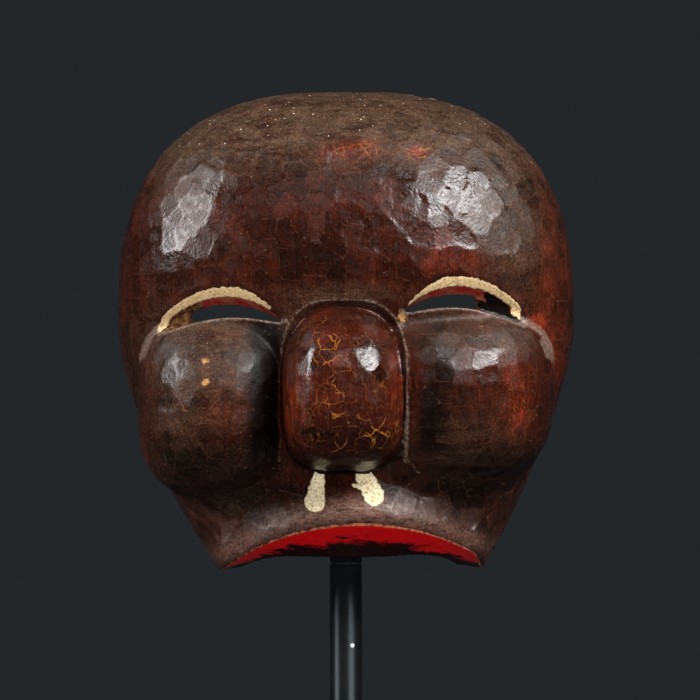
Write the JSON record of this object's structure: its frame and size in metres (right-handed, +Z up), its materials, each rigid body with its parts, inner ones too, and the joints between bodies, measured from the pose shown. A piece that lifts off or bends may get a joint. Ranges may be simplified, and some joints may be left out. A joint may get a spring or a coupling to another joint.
{
  "type": "theatre half mask on a display stand",
  "caption": "Carved and lacquered wooden half mask with round cheeks, a barrel nose and narrow eye slits, resting on a turning steel display stand.",
  "frame": {"origin": "centre of the stand's underside, on the table", "axes": "+Z up, the mask faces -Y, +X is to the right of somebody who looks at the mask"},
  "size_m": [0.1698, 0.13, 0.285],
  "materials": {
    "lacquered_wood": "worn red-brown lacquer over carved wood",
    "black_steel": "satin black",
    "plain_steel": "plain",
    "nylon": "matte",
    "rubber": "matte",
    "felt": "felt"
  },
  "bodies": {
    "stand": {"base_plate": "black_steel", "base_felt": "felt", "post_screw": "plain_steel", "post": "black_steel", "swivel_washer": "nylon"},
    "swivel": {"swivel_head": "black_steel", "set_screw": "plain_steel", "support_fork": "black_steel", "left_fork_sleeve": "rubber", "right_fork_sleeve": "rubber", "upright_rod": "black_steel", "brow_saddle": "black_steel", "saddle_felt": "felt"},
    "mask": {"mask_shell": "lacquered_wood"}
  },
  "joints": [
    {"name": "head_swivel", "type": "hinge", "parent": "stand", "child": "swivel", "pos_m": [0, 0, 0.11], "axis": [0, 0, 1], "continuous": true},
    {"name": "mask_lift", "type": "slide", "parent": "swivel", "child": "mask", "axis": [0, 0, 1], "range_m": [0, 0.18]}
  ]
}
